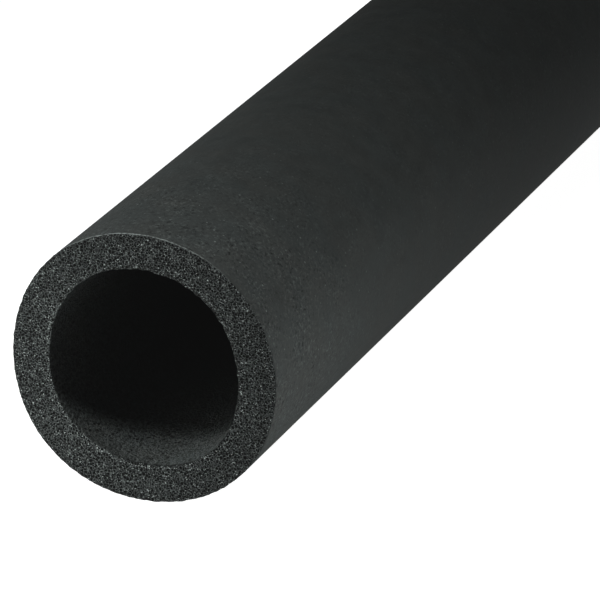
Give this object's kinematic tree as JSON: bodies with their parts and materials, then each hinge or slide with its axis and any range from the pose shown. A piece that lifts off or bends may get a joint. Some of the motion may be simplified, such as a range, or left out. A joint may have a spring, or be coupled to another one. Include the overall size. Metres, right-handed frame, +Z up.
{
  "type": "pipe insulation lagging",
  "caption": "Straight round tube of soft black elastomeric foam, open through its bore and cut square at both ends, that slips over a pipe to insulate it.",
  "frame": {"origin": "on the ground under the middle of the tube, at the bottom centre of its box", "axes": "+Y along the tube, from the end at the lower left of the picture to the end that the picture cuts off; +Z up from the ground; +X to the right of the near end as seen in the picture"},
  "size_m": [0.0656, 1, 0.0656],
  "materials": {
    "foam": "matt black closed-cell elastomeric foam with a smooth moulded skin outside and in the bore, and open cut cells on both ends"
  },
  "bodies": {
    "root": {"foam_tube": "foam"}
  },
  "joints": []
}
